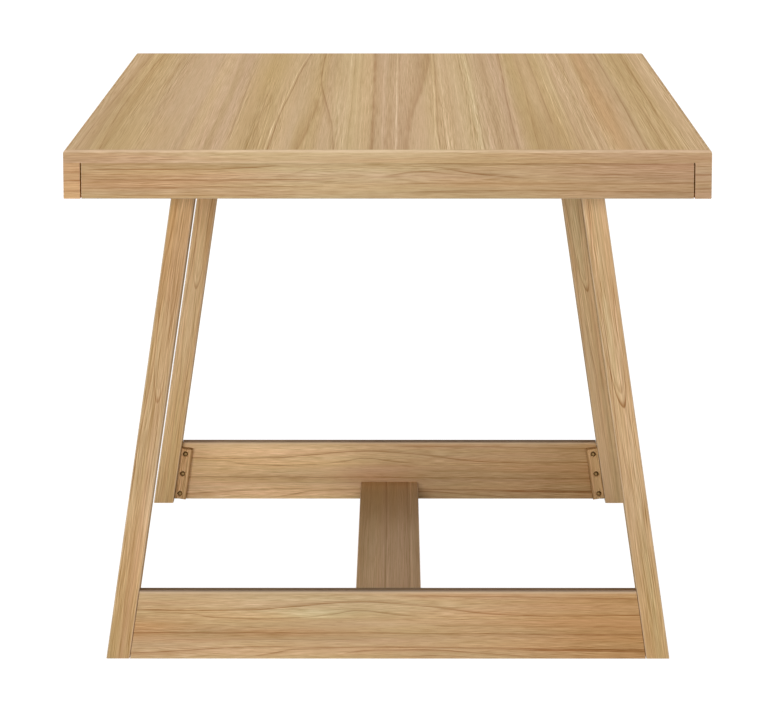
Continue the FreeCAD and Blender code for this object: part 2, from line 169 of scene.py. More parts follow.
# ---- surface of oak, with the shares of fibres, streaks, pores and late wood in its relief ----
ROUGHNESS = 0.52
ROUGHNESS_SWING = 0.10
PORE_ROUGHNESS = 0.1
RELIEF_DEPTH = 0.2 * MM
RELIEF_SHARES = (0.6, 0.5, -0.8, -0.3)

# ---- surface of metal ----
BRONZE_ROUGHNESS = 0.45
ZINC_ROUGHNESS = 0.3
WORN_ROUGHNESS = 0.15
WORN_SHADE = 0.6

# ---- drawn lines: widths are shares of the line's width, ends are shares of the board ----
CORE_WIDTH = 0.22
CORE_STRENGTH = 0.9
SIDE_OVERLAP = 0.1
SIDE_STRENGTH = 0.6
LINE_FADE = 0.06
BOARD_END = 0.01

# ---- drawn flames: rims are (size, weight) ----
EYE_RIMS = ((1.0, 1.0), (0.55, 0.45))
RIM_INSIDE = 0.25
RIM_OUTSIDE = 0.08
EYE_PALENESS = 0.30

# ---- seeds: a board's is the first of its kind, plus its number ----
SEEDS = {
    "end_lipping": 11.0, "end_apron": 21.0, "cross_rail": 41.0, "side_lipping": 51.0,
    "side_apron": 61.0, "leg": 71.0, "cleat": 81.0, "corner_block": 91.0, "batten": 95.0,
    "dowel": 99.0,
}


# ---- node helpers ----
class Graph:
    """Short names for the shader nodes that the materials are made of."""

    def __init__(self, owner):
        """The graph of a node group, or of a material or world, which loses its first nodes."""
        self.tree = owner
        if not isinstance(owner, bpy.types.NodeTree):
            owner.use_nodes = True
            self.tree = owner.node_tree
            self.tree.nodes.clear()

    def node(self, kind, **settings):
        """A new node with these settings."""
        made = self.tree.nodes.new(kind)
        for name, value in settings.items():
            setattr(made, name, value)
        return made

    def feed(self, socket, value):
        """Links an output to a socket, or sets the socket to a number or colour."""
        if isinstance(value, bpy.types.NodeSocket):
            self.tree.links.new(value, socket)
        elif socket.type == "RGBA":
            socket.default_value = (*value, 1)
        else:
            socket.default_value = value

    def show(self, shader, output="ShaderNodeOutputMaterial"):
        """Makes a shader the surface of the material or world."""
        self.feed(self.node(output).inputs["Surface"], shader.outputs[0])

    def math(self, operation, *values):
        """The result of a Math node."""
        made = self.node("ShaderNodeMath", operation=operation)
        for socket, value in zip(made.inputs, values):
            self.feed(socket, value)
        return made.outputs[0]

    def times(self, *values):
        """All the values multiplied."""
        product = values[0]
        for value in values[1:]:
            product = self.math("MULTIPLY", product, value)
        return product

    def total(self, *values):
        """All the values added."""
        added = values[0]
        for value in values[1:]:
            added = self.math("ADD", added, value)
        return added

    def swing(self, noise, amount):
        """A noise moved to swing about zero, times an amount."""
        return self.math("MULTIPLY_ADD", noise, 2 * amount, -amount)

    def offset(self, value, middle, half_size):
        """How far a value lies from a middle, in half sizes."""
        return self.math("DIVIDE", self.math("SUBTRACT", value, middle), half_size)

    def dot(self, vector, direction):
        """A vector's part along a direction."""
        made = self.node("ShaderNodeVectorMath", operation="DOT_PRODUCT")
        self.feed(made.inputs[0], vector)
        made.inputs[1].default_value = direction
        return made.outputs["Value"]

    def millimetres(self, vector, directions):
        """The parts of a vector along some directions, in millimetres."""
        return [self.times(self.dot(vector, direction), 1 / MM) for direction in directions]

    def vector(self, x, y, z):
        """A vector or colour of three values."""
        made = self.node("ShaderNodeCombineXYZ")
        for socket, value in zip(made.inputs, (x, y, z)):
            self.feed(socket, value)
        return made.outputs[0]

    def noise(self, place, feature, seed, detail=1.0):
        """A noise with features of these sizes, different for each seed and salt."""
        sizes, salt = feature
        offset = self.math("ADD", seed, salt)
        scaled = [self.math("MULTIPLY_ADD", part, 1 / size, offset)
                  for part, size in zip(place, sizes)]
        made = self.node("ShaderNodeTexNoise")
        self.feed(made.inputs["Vector"], self.vector(*scaled))
        made.inputs["Scale"].default_value = 1.0
        made.inputs["Detail"].default_value = detail
        return made.outputs["Fac"]

    def chance(self, value):
        """One random number for each whole number."""
        made = self.node("ShaderNodeTexWhiteNoise", noise_dimensions="1D")
        self.feed(made.inputs["W"], value)
        return made.outputs["Value"]

    def ramp(self, value, low, high, out_low=0.0, out_high=1.0):
        """A smooth step from one level to another; low may be above high."""
        if low > high:
            low, high, out_low, out_high = high, low, out_high, out_low
        made = self.node("ShaderNodeMapRange", interpolation_type="SMOOTHSTEP")
        for name, level in (
            ("Value", value), ("From Min", low), ("From Max", high),
            ("To Min", out_low), ("To Max", out_high),
        ):
            self.feed(made.inputs[name], level)
        return made.outputs["Result"]

    def blend(self, share, first, second):
        """The first colour, with a share of the second."""
        made = self.node("ShaderNodeMix", data_type="RGBA")
        self.feed(made.inputs["Factor"], share)
        self.feed(made.inputs["A"], first)
        self.feed(made.inputs["B"], second)
        return made.outputs["Result"]

    def tinted(self, colour, tint):
        """A colour times another colour."""
        made = self.node("ShaderNodeVectorMath", operation="MULTIPLY")
        self.feed(made.inputs[0], colour)
        self.feed(made.inputs[1], tint)
        return made.outputs[0]

    def washed(self, share, colour, tint):
        """A colour that takes a share of a tint."""
        return self.blend(share, colour, self.tinted(colour, tint))

    def grained(self, colour, amount, shares):
        """A colour with grain over it, of which red, green and blue take unequal shares."""
        parts = [self.math("MULTIPLY_ADD", amount, share, 1.0) for share in shares]
        return self.tinted(colour, self.vector(*parts))


def new_group(name, numbers, outputs):
    """An empty node group: its graph, its input sockets and its output sockets."""
    tree = bpy.data.node_groups.new(name, "ShaderNodeTree")
    for socket in numbers:
        tree.interface.new_socket(socket, in_out="INPUT", socket_type="NodeSocketFloat")
    for socket in outputs:
        kind = "NodeSocketColor" if socket == "Colour" else "NodeSocketFloat"
        tree.interface.new_socket(socket, in_out="OUTPUT", socket_type=kind)
    g = Graph(tree)
    return g, g.node("NodeGroupInput").outputs, g.node("NodeGroupOutput").inputs


# ---- the plain oak: bands, rings, fibres and streaks, before a board's own figure ----
def oak_tone(g, straight, seed, mottle):
    """Broad bands of tone, mottled a little warmer and pinker."""
    hue = g.noise(straight, HUES, seed)
    band = g.noise(straight, TONE_BANDS, seed)
    colour = g.blend(g.ramp(hue, *PINK_TO_YELLOW), PINK, YELLOW)
    colour = g.blend(g.ramp(band, *INTO_BROWN), colour, BROWN)
    warm, pinkish = [g.times(g.swing(g.noise(straight, feature, seed), 1.0), mottle)
                     for feature in (WARMTH, PINKNESS)]
    channels = [g.total(1.0, g.times(warm, warmth), g.times(pinkish, pinkness))
                for warmth, pinkness in MOTTLE_SHARES]
    return g.tinted(colour, g.vector(*channels))


def oak_rings(g, place, straight, seed, strength, ring_width):
    """Growth rings: fine darker lines of uneven strength."""
    shifts = g.swing(g.noise(straight, RING_SHIFTS, seed), RING_SHIFT)
    ring = g.math("ADD", g.math("DIVIDE", straight[1], ring_width), shifts)
    phase = g.math("FRACT", ring)
    number = g.math("ADD", g.math("FLOOR", ring), seed)
    fade = g.noise(place, RING_FADING, seed)
    return g.times(
        g.ramp(phase, *RING_RISE), g.ramp(phase, *RING_FALL),
        g.ramp(g.chance(number), *RING_STRENGTH), g.ramp(fade, *RING_FADE), strength,
    )


def make_oak_ground():
    """The node group of plain oak, which every board's material uses."""
    g, given, out = new_group(
        "oak_ground",
        ("Along", "Across", "Depth", "Seed", "Stretch", "Waver", "Streaks", "Rings",
         "Ring width", "Fibres", "Mottle"),
        ("Colour", "Roughness", "Height", "Across", "Vigour"),
    )
    seed = given["Seed"]
    along = g.math("DIVIDE", given["Along"], given["Stretch"])
    depth = given["Depth"]
    tilted = g.math("MULTIPLY_ADD", depth, RING_TILT, given["Across"])
    place = (along, tilted, depth)

    # the grain wavers across the board
    slow = g.times(g.swing(g.noise(place, SLOW_WAVER, seed), 1.0), given["Waver"])
    quick = g.swing(g.noise(place, QUICK_WAVER, seed), QUICK_WAVER_MM)
    across = g.total(tilted, slow, quick)
    straight = (along, across, depth)

    late = oak_rings(g, place, straight, seed, given["Rings"], given["Ring width"])

    # fibres, long streaks, pale flecks with a hollow beside each, and open pores
    fibre = g.noise(straight, FINE_FIBRES, seed, detail=2.0)
    streak = g.noise(straight, LONG_STREAKS, seed)
    area = g.noise(straight, LIVELY_AREAS, seed)
    lively = g.times(g.ramp(area, *STREAK_LIVELINESS), given["Streaks"])
    beside = (along, g.math("ADD", across, HOLLOW_BESIDE_FLECK_MM), depth)
    fleck, hollow = [g.ramp(g.noise(spot, PALE_FLECKS, seed), *FLECK)
                     for spot in (straight, beside)]
    pores = g.ramp(g.noise(straight, OPEN_PORES, seed), *PORE)
    fine = g.total(
        g.times(g.swing(fibre, FIBRE_CONTRAST), g.ramp(area, *FIBRE_LIVELINESS),
                given["Fibres"]),
        g.times(g.swing(streak, STREAK_CONTRAST), lively),
        g.times(g.math("SUBTRACT", fleck, hollow), lively, FLECK_CONTRAST),
        g.swing(g.noise(place, CLOUDS, seed), CLOUD_CONTRAST),
    )
    dark = g.total(g.times(late, RING_CONTRAST), g.times(pores, PORE_CONTRAST))

    colour = g.grained(oak_tone(g, straight, seed, given["Mottle"]), fine, FIBRES)
    g.feed(out["Colour"], g.grained(colour, dark, LATE_WOOD))
    g.feed(out["Roughness"], g.total(ROUGHNESS, g.swing(fibre, ROUGHNESS_SWING),
                                     g.times(pores, PORE_ROUGHNESS)))
    heights = [g.times(feature, share)
               for feature, share in zip((fibre, streak, pores, late), RELIEF_SHARES)]
    g.feed(out["Height"], g.total(*heights))
    g.feed(out["Across"], across)
    g.feed(out["Vigour"], g.ramp(g.noise(place, LINE_VIGOUR, seed), *VIGOUR))
    return g.tree


oak_ground = make_oak_ground()


# ---- a board's own figure ----
def drawn_line(g, along, across, vigour, points, width, strength, core_strength=CORE_STRENGTH):
    """One grain line through (share of length, share of width) points, soft on one side.

    A positive width has the soft side above the line, a negative one below it. A
    negative strength is a pale line. The line fades in and out inside the board.
    """
    curve = g.node("ShaderNodeFloatCurve")
    g.feed(curve.inputs["Value"], along)
    spots = curve.mapping.curves[0].points
    spots[0].location = points[0]
    spots[1].location = points[-1]
    for point in points[1:-1]:
        spots.new(*point)
    curve.mapping.update()
    off = g.math("SUBTRACT", across, curve.outputs[0])
    core = g.ramp(g.math("ABSOLUTE", off), CORE_WIDTH * abs(width), 0.0)
    side = g.times(g.ramp(off, -SIDE_OVERLAP * width, 0.0), g.ramp(off, width, 0.0))
    profile = g.total(g.times(core, vigour, core_strength), g.times(side, SIDE_STRENGTH))
    start = points[0][0]
    end = points[-1][0]
    if start > BOARD_END:
        profile = g.times(profile, g.ramp(along, start, start + LINE_FADE))
    if end < 1 - BOARD_END:
        profile = g.times(profile, g.ramp(along, end, end - LINE_FADE))
    return g.times(profile, strength)


def drawn_eye(g, along, across, middle, half_length, half_width, skew):
    """A flame in the figure: round and sharp below, open above. Its outlines, its inside."""
    run = g.offset(along, middle[0], half_length)
    side = g.math("SUBTRACT", g.math("SUBTRACT", across, middle[1]), g.times(run, skew))
    sideways = g.math("DIVIDE", side, half_width)
    reach = g.total(g.times(run, run), g.times(sideways, sideways))
    lower = g.ramp(run, *EYE_LOWER_PART)
    rims = [g.times(g.ramp(reach, size - RIM_INSIDE, size),
                    g.ramp(reach, size + RIM_OUTSIDE, size), weight)
            for size, weight in EYE_RIMS]
    return g.times(g.total(*rims), lower), g.ramp(reach, *EYE_INSIDE)


def soft_patch(g, along, across, middle, half_length, half_width):
    """1 in the middle of an oval area, and 0 outside it."""
    run = g.offset(along, middle[0], half_length)
    side = g.offset(across, middle[1], half_width)
    reach = g.math("SQRT", g.total(g.times(run, run), g.times(side, side)))
    return g.ramp(reach, *PATCH)


def banded(g, share, bands):
    """Tint and liveliness across a board, from (share, tint, liveliness) rows."""
    made = g.node("ShaderNodeValToRGB")
    g.feed(made.inputs["Fac"], share)
    stops = made.color_ramp.elements
    stops.remove(stops[1])
    stops[0].position = bands[0][0]
    stops[0].color = (*bands[0][1], bands[0][2])
    for position, tint, liveliness in bands[1:]:
        stops.new(position).color = (*tint, liveliness)
    return made.outputs["Color"], made.outputs["Alpha"]


def draw_figure(g, colour, canvas, patches, lines, eyes, figure):
    """Draws a board's patches, lines and flames over its plain colour.

    The canvas is the share of length, the share of width and the lines' vigour.
    """
    along, across, vigour = canvas
    for tint, middle, half_length, half_width, share in patches:
        area = soft_patch(g, along, across, middle, half_length, half_width)
        colour = g.washed(g.times(area, share), colour, tint)
    drawn = [drawn_line(g, along, across, vigour, *line) for line in lines]
    for middle, half_length, half_width, skew, strength in eyes:
        outline, inside = drawn_eye(g, along, across, middle, half_length, half_width, skew)
        drawn.append(g.times(outline, strength))
        colour = g.washed(g.times(inside, EYE_PALENESS), colour, PALE_GREEN)
    if drawn:
        colour = g.grained(colour, g.times(g.total(*drawn), figure), LATE_WOOD)
    return colour


class Board:
    """Where a board lies: a low corner of its main face, its directions and its sizes."""

    def __init__(self, corner, grain, across, length, width):
        self.corner = Vector(corner)
        self.grain = Vector(grain).normalized()
        self.across = Vector(across).normalized()
        self.inward = self.grain.cross(self.across)
        self.directions = (self.grain, self.across, self.inward)
        self.length_mm = length / MM
        self.width_mm = width / MM


def oak(name, board, seed=0.0, stretch=1.0, waver=3.0, streaks=0.35, fibres=1.0, rings=0.5,
        ring_width=7.0, mottle=1.0, bands=(), patches=(), lines=(), eyes=(), figure=1.0,
        edge_wear_and_highlight=0.3, bump=0.2, wrapped=False, tint=PLAIN, end_tint=DEEPER, inner_tint=None,
        painted_side_light=None, painted_top_shade=None):
    """Oak for one board, with its own figure drawn over the plain ground."""
    made = bpy.data.materials.new(name)
    g = Graph(made)
    coords = g.node("ShaderNodeTexCoord").outputs
    normal = coords["Normal"]
    moved = g.node("ShaderNodeVectorMath", operation="SUBTRACT")
    g.feed(moved.inputs[0], coords["Object"])
    moved.inputs[1].default_value = board.corner
    along, across, depth = g.millimetres(moved.outputs[0], board.directions)
    facings = [g.math("ABSOLUTE", g.dot(normal, direction)) for direction in board.directions]
    at_end = g.ramp(facings[0], *FACING)
    if wrapped:
        # an edge band covers the end, its grain across the board's thickness
        along = g.total(along, g.times(depth, at_end))
        depth = g.times(depth, g.math("SUBTRACT", 1.0, at_end))

    if bands:
        band_tint, liveliness = banded(g, g.math("DIVIDE", across, board.width_mm), bands)
        streaks = g.times(liveliness, streaks)
    ground = g.node("ShaderNodeGroup", node_tree=oak_ground)
    for socket, value in (
        ("Along", along), ("Across", across), ("Depth", depth), ("Seed", seed),
        ("Stretch", stretch), ("Waver", waver), ("Streaks", streaks), ("Rings", rings),
        ("Ring width", ring_width), ("Fibres", fibres), ("Mottle", mottle),
    ):
        g.feed(ground.inputs[socket], value)
    colour = ground.outputs["Colour"]
    if bands:
        colour = g.tinted(colour, band_tint)
    length_share = g.math("DIVIDE", along, board.length_mm)
    width_share = g.math("DIVIDE", ground.outputs["Across"], board.width_mm)
    canvas = (length_share, width_share, ground.outputs["Vigour"])
    colour = draw_figure(g, colour, canvas, patches, lines, eyes, figure)

    # rounded edges are painted paler, partly as wear and partly as a painted highlight; some
    # faces get painted shade and others painted light
    most = g.math("MAXIMUM", g.math("MAXIMUM", facings[0], facings[1]), facings[2])
    colour = g.blend(g.times(g.ramp(most, *ROUNDED_EDGE), edge_wear_and_highlight), colour, EDGE_WEAR_AND_HIGHLIGHT)
    # ends are tinted: darker end grain, or inside a joint the warm joint tint, which is painted
    # bounce light
    if not wrapped:
        colour = g.washed(at_end, colour, end_tint)
    if inner_tint:
        # only at the ends, where another board butts against the face
        inner_face = g.ramp(g.dot(normal, board.inward), *FACING_INWARD)
        off_middle = g.math("ABSOLUTE", g.math("SUBTRACT", length_share, 0.5))
        joint = g.times(inner_face, g.ramp(off_middle, *END_JOINT))
        # the joint tint warms the wood here, as painted light bounced in the gap
        colour = g.washed(joint, colour, inner_tint)
    # painted light: faces that look across the board are made paler, lifting their shade
    if painted_side_light:
        colour = g.washed(g.ramp(facings[1], *FACING), colour, painted_side_light)
    # painted shade: faces that look up are darkened, as the shade under the top
    if painted_top_shade:
        colour = g.washed(g.ramp(g.dot(normal, Z), *FACING_UP), colour, painted_top_shade)

    # the finish is fully matte
    shader = g.node("ShaderNodeBsdfPrincipled")
    g.feed(shader.inputs["Base Color"], g.tinted(colour, tint))
    g.feed(shader.inputs["Roughness"], ground.outputs["Roughness"])
    shader.inputs["Specular IOR Level"].default_value = 0.0
    relief = g.node("ShaderNodeBump")
    relief.inputs["Strength"].default_value = bump
    relief.inputs["Distance"].default_value = RELIEF_DEPTH
    g.feed(relief.inputs["Height"], ground.outputs["Height"])
    g.feed(shader.inputs["Normal"], relief.outputs[0])
    g.show(shader)
    return made


def metal(name, colour, roughness):
    """Plated metal with a fine uneven sheen, darker where it is worn."""
    made = bpy.data.materials.new(name)
    g = Graph(made)
    place = g.millimetres(g.node("ShaderNodeTexCoord").outputs["Object"], (X, Y, Z))
    wear = g.noise(place, METAL_WEAR, 0.0, detail=3.0)
    shader = g.node("ShaderNodeBsdfPrincipled")
    darker = tuple(c * WORN_SHADE for c in colour)
    rougher = roughness + WORN_ROUGHNESS
    g.feed(shader.inputs["Base Color"], g.blend(g.ramp(wear, *WORN), darker, colour))
    g.feed(shader.inputs["Roughness"], g.ramp(wear, *WORN, roughness, rougher))
    shader.inputs["Metallic"].default_value = 1.0
    g.show(shader)
    return made


# ---- figure of the boards: middles and points are (share of length, share of width) ----
# a band is (share of width, tint, liveliness of the streaks)
# a patch is (tint, middle, half length, half width, share of the tint)
# a line is (points, width, strength), and may end with the strength of its core
# an eye is (middle, half length, half width, skew, strength)
TOP_BANDS = (
    (0.00, PLAIN, 0.5), (0.03, DEEPER, 0.5), (0.06, OLIVE, 0.7), (0.11, PLAIN, 0.8),
    (0.13, LILAC, 0.2), (0.175, LILAC, 0.2), (0.19, PALER, 0.3), (0.235, LILAC, 0.3),
    (0.255, OLIVE, 0.6), (0.30, OLIVE, 0.8), (0.325, PALER, 0.9), (0.345, PLAIN, 0.5),
    (0.375, OLIVE, 0.4), (0.395, PLAIN, 0.3), (0.43, GREENISH, 0.6), (0.465, PALER, 0.3),
    (0.48, LILAC, 0.3), (0.56, PLAIN, 0.3), (0.59, PALER, 0.9), (0.645, GREENISH, 0.9),
    (0.67, LILAC, 0.7), (0.705, LILAC, 0.5), (0.725, OLIVE, 0.3), (0.775, OLIVE, 0.4),
    (0.80, PALER, 1.1), (0.84, PALER, 1.1), (0.86, ROSY, 0.4), (0.90, PLAIN, 0.4),
    (0.92, OLIVE, 0.5), (0.955, OLIVE, 0.9), (1.00, PALER, 1.0),
)
TOP_PATCHES = (
    (OLIVE, (0.10, 0.12), 0.30, 0.06, 1.0),
    (OLIVE, (0.75, 0.28), 0.40, 0.03, 0.8),
    (OLIVE, (0.10, 0.36), 0.30, 0.02, 0.8),
    (DEEPER, (0.10, 0.75), 0.50, 0.04, 0.8),
    (ROSY, (0.35, 0.86), 0.40, 0.04, 0.35),
    (BRIGHT, (0.90, 0.03), 0.60, 0.06, 0.30),
    (BRIGHT, (0.60, 0.47), 0.70, 0.16, 0.12),
    (DEEPER, (0.00, 0.79), 0.70, 0.07, 0.9),
)
TOP_LINES = (
    (((0.0, 0.055), (0.3, 0.046), (0.6, 0.047), (1.0, 0.057)), 0.010, 0.13),
    (((0.0, 0.018), (0.4, 0.022), (1.0, 0.035)), -0.008, 0.10),
    (((0.0, 0.040), (0.5, 0.036), (1.0, 0.043)), 0.004, -0.10),
    (((0.0, 0.112), (0.5, 0.110), (1.0, 0.113)), 0.005, 0.08),
    (((0.0, 0.178), (0.5, 0.177), (1.0, 0.179)), -0.005, 0.07),
    (((0.05, 0.247), (0.45, 0.246), (0.75, 0.244)), 0.005, 0.14),
    (((0.05, 0.251), (0.45, 0.250), (0.75, 0.248)), 0.004, -0.14),
    (((0.0, 0.285), (0.3, 0.286), (0.6, 0.284)), 0.004, 0.09),
    (((0.0, 0.314), (0.33, 0.319), (0.5, 0.326), (0.75, 0.335), (1.0, 0.348)), -0.006, 0.24),
    (((0.0, 0.309), (0.33, 0.314), (0.5, 0.321), (0.75, 0.330), (1.0, 0.343)), 0.005, -0.22),
    (((0.0, 0.299), (0.3, 0.301), (0.6, 0.308), (0.85, 0.313)), 0.004, -0.10),
    (((0.0, 0.361), (0.2, 0.372), (0.4, 0.379), (0.5, 0.380)), -0.022, 0.17, 0.5),
    (((0.0, 0.417), (0.15, 0.412), (0.27, 0.405), (0.45, 0.391), (0.63, 0.379), (1.0, 0.377)),
     -0.010, 0.17),
    (((0.0, 0.425), (0.25, 0.418), (0.5, 0.408), (0.8, 0.402)), 0.005, -0.10),
    (((0.0, 0.430), (0.5, 0.428), (1.0, 0.427)), 0.004, -0.14),
    (((0.0, 0.437), (0.5, 0.436), (1.0, 0.434)), 0.004, 0.13),
    (((0.2, 0.446), (0.6, 0.443), (1.0, 0.442)), 0.004, -0.13),
    (((0.0, 0.453), (0.5, 0.450), (1.0, 0.449)), 0.004, 0.09),
    (((0.0, 0.473), (0.5, 0.474), (1.0, 0.473)), 0.028, 0.15, 1.0),
    (((0.0, 0.490), (0.5, 0.491), (1.0, 0.492)), 0.004, -0.10),
    (((0.0, 0.513), (0.4, 0.514), (1.0, 0.515)), 0.004, -0.26),
    (((0.0, 0.517), (0.4, 0.518), (1.0, 0.519)), 0.008, 0.08),
    (((0.0, 0.531), (0.18, 0.534), (0.36, 0.542), (0.56, 0.556), (0.78, 0.570), (1.0, 0.576)),
     -0.050, 0.20, 0.35),
    (((0.0, 0.577), (0.3, 0.578), (0.55, 0.580), (1.0, 0.582)), 0.004, -0.18),
    (((0.0, 0.581), (0.3, 0.582), (0.55, 0.584), (1.0, 0.586)), 0.005, 0.16),
    (((0.0, 0.596), (0.4, 0.594), (1.0, 0.595)), 0.004, -0.14),
    (((0.1, 0.609), (0.5, 0.606), (1.0, 0.606)), 0.004, 0.10),
    (((0.0, 0.622), (0.4, 0.620), (0.9, 0.622)), 0.004, -0.12),
    (((0.0, 0.635), (0.5, 0.634), (1.0, 0.633)), 0.004, 0.10),
    (((0.0, 0.646), (0.5, 0.645), (1.0, 0.643)), 0.005, -0.16),
    (((0.0, 0.650), (0.5, 0.649), (1.0, 0.648)), 0.004, 0.12),
    (((0.0, 0.662), (0.5, 0.662), (1.0, 0.664)), 0.004, 0.08),
    (((0.0, 0.703), (0.4, 0.704), (0.7, 0.709), (1.0, 0.713)), -0.008, 0.20),
    (((0.0, 0.708), (0.4, 0.710), (0.7, 0.715), (1.0, 0.719)), 0.005, -0.10),
    (((0.0, 0.734), (0.3, 0.738), (0.7, 0.744), (1.0, 0.745)), 0.008, 0.10),
    (((0.2, 0.770), (0.6, 0.769), (1.0, 0.768)), -0.010, 0.12),
    (((0.0, 0.785), (0.5, 0.783), (1.0, 0.784)), 0.004, -0.14),
    (((0.0, 0.797), (0.4, 0.795), (1.0, 0.794)), 0.005, -0.18),
    (((0.0, 0.802), (0.4, 0.800), (1.0, 0.799)), 0.004, 0.12),
    (((0.0, 0.814), (0.6, 0.812), (1.0, 0.810)), 0.004, -0.16),
    (((0.0, 0.828), (0.3, 0.826), (1.0, 0.824)), 0.005, -0.18),
    (((0.0, 0.833), (0.5, 0.831), (1.0, 0.829)), 0.004, 0.12),
    (((0.0, 0.846), (0.5, 0.844), (1.0, 0.842)), 0.004, -0.12),
    (((0.1, 0.862), (0.5, 0.858), (0.9, 0.855)), -0.006, 0.08),
    (((0.0, 0.899), (0.40, 0.901), (1.0, 0.900)), 0.008, 0.18),
    (((0.0, 0.905), (0.40, 0.907), (1.0, 0.906)), 0.004, -0.08),
    (((0.0, 0.930), (0.5, 0.930), (1.0, 0.931)), 0.005, 0.10),
    (((0.0, 0.950), (0.4, 0.951), (1.0, 0.953)), -0.008, 0.14),
    (((0.0, 0.962), (0.5, 0.962), (1.0, 0.964)), 0.004, -0.14),
    (((0.0, 0.978), (0.5, 0.980), (1.0, 0.983)), 0.004, -0.14),
)
APRON_LINES = (
    (((0.02, 0.62), (0.20, 0.61), (0.27, 0.63), (0.36, 0.72)), 0.07, 0.26),
    (((0.02, 0.40), (0.20, 0.39), (0.36, 0.40), (0.44, 0.44)), -0.06, 0.26),
    (((0.46, 0.45), (0.50, 0.48), (0.55, 0.57), (0.58, 0.54), (0.61, 0.43)), -0.07, 0.24),
    (((0.02, 0.24), (0.20, 0.24), (0.31, 0.25), (0.41, 0.27)), -0.05, 0.22),
    (((0.05, 0.06), (0.20, 0.06), (0.35, 0.05)), 0.05, 0.18),
    (((0.50, 0.12), (0.60, 0.13), (0.69, 0.12)), 0.05, 0.16),
    (((0.33, 0.42), (0.37, 0.58), (0.41, 0.74)), -0.08, 0.20),
    (((0.44, 0.47), (0.46, 0.60), (0.475, 0.72)), -0.07, 0.18),
    (((0.56, 0.73), (0.61, 0.57), (0.66, 0.49), (0.73, 0.41)), 0.08, 0.24),
    (((0.50, 0.72), (0.70, 0.72), (1.0, 0.71)), -0.05, 0.20),
    (((0.73, 0.53), (0.85, 0.50), (0.97, 0.46)), -0.06, 0.18),
    (((0.48, 0.31), (0.60, 0.31), (0.80, 0.31), (1.0, 0.31)), 0.05, 0.16),
    (((0.52, 0.14), (0.66, 0.18), (0.80, 0.17), (1.0, 0.13)), -0.07, 0.18),
)
APRON_PATCHES = (
    (REDDISH, (0.12, 0.40), 0.26, 0.60, 0.6),
    (DUSKY, (0.05, 0.95), 0.36, 0.34, 1.0),
    (PALE_GREEN, (0.43, 0.50), 0.22, 0.60, 0.30),
    (DUSKY, (0.60, 0.40), 0.12, 0.60, 0.25),
    (DUSKY, (1.0, 0.35), 0.40, 1.20, 1.0),
    (DUSKY, (0.85, 0.95), 0.34, 0.34, 1.0),
)
LIPPING_PATCHES = (
    (DUSKY, (0.00, 0.90), 0.30, 0.60, 0.8),
    (PALE_GREEN, (0.45, 0.85), 0.24, 0.60, 0.30),
    (DUSKY, (1.00, 0.90), 0.50, 0.60, 0.8),
)
SIDE_APRON_LINES = {
    "left": (
        (((0.0, 0.20), (0.3, 0.25), (0.7, 0.18), (1.0, 0.165)), 0.06, 0.30),
        (((0.0, 0.40), (0.4, 0.36), (0.8, 0.39), (1.0, 0.373)), 0.06, 0.34),
        (((0.0, 0.60), (0.5, 0.53), (1.0, 0.557)), -0.05, 0.20),
        (((0.0, 0.80), (0.5, 0.83), (1.0, 0.750)), 0.05, 0.22),
    ),
    "right": (
        (((0.0, 0.484), (0.3, 0.52), (0.7, 0.47), (1.0, 0.50)), 0.05, 0.32),
        (((0.0, 0.80), (0.4, 0.77), (1.0, 0.82)), -0.05, 0.26),
        (((0.0, 0.19), (0.5, 0.22), (1.0, 0.17)), 0.05, 0.22),
        (((0.0, 0.34), (0.6, 0.31), (1.0, 0.35)), 0.04, 0.16),
    ),
}
SIDE_APRON_PATCHES = {
    "left": ((ROSY, (1.0, 0.4), 0.10, 1.5, 0.6), (BRIGHT, (1.0, 0.0), 0.10, 0.6, 0.3)),
    "right": ((SHADED, (0.0, 0.5), 0.12, 2.0, 1.0),),
}
STRETCHER_LINES = (
    (((0.0, 0.718), (0.22, 0.718), (0.31, 0.76), (0.45, 0.83), (0.57, 0.77), (0.71, 0.65),
      (1.0, 0.637)), 0.050, 0.26),
    (((0.03, 0.665), (0.11, 0.665), (0.17, 0.597), (0.31, 0.597), (0.39, 0.650), (0.44, 0.705),
      (0.51, 0.650), (0.58, 0.615)), 0.035, 0.22),
    (((0.0, 0.383), (0.25, 0.383), (0.50, 0.380), (0.75, 0.365), (1.0, 0.355)), -0.030, 0.24),
    (((0.04, 0.274), (0.20, 0.276), (0.48, 0.272)), 0.030, 0.16),
    (((0.0, 0.073), (0.10, 0.110), (0.22, 0.173), (0.35, 0.173), (0.60, 0.170), (0.80, 0.150),
      (1.0, 0.133)), -0.045, 0.24),
    (((0.20, 0.0), (0.27, 0.075), (0.34, 0.150), (0.44, 0.160)), -0.040, 0.20),
    (((0.39, 0.0), (0.44, 0.105), (0.53, 0.133), (0.60, 0.125), (0.67, 0.093), (0.76, 0.040),
      (0.84, 0.0)), -0.040, 0.24),
    (((0.52, 0.0), (0.56, 0.038), (0.60, 0.052), (0.64, 0.038), (0.68, 0.0)), -0.030, 0.20),
    (((0.50, 0.927), (0.70, 0.915), (1.0, 0.870)), -0.045, 0.20),
    (((0.74, 0.130), (0.88, 0.115), (1.0, 0.100)), 0.055, 0.24),
    (((0.55, 0.50), (0.75, 0.48), (1.0, 0.47)), -0.040, 0.14),
    (((0.20, 0.618), (0.33, 0.616), (0.48, 0.600)), 0.014, -0.20),
    (((0.24, 0.158), (0.40, 0.154), (0.60, 0.150)), 0.014, -0.20),
)
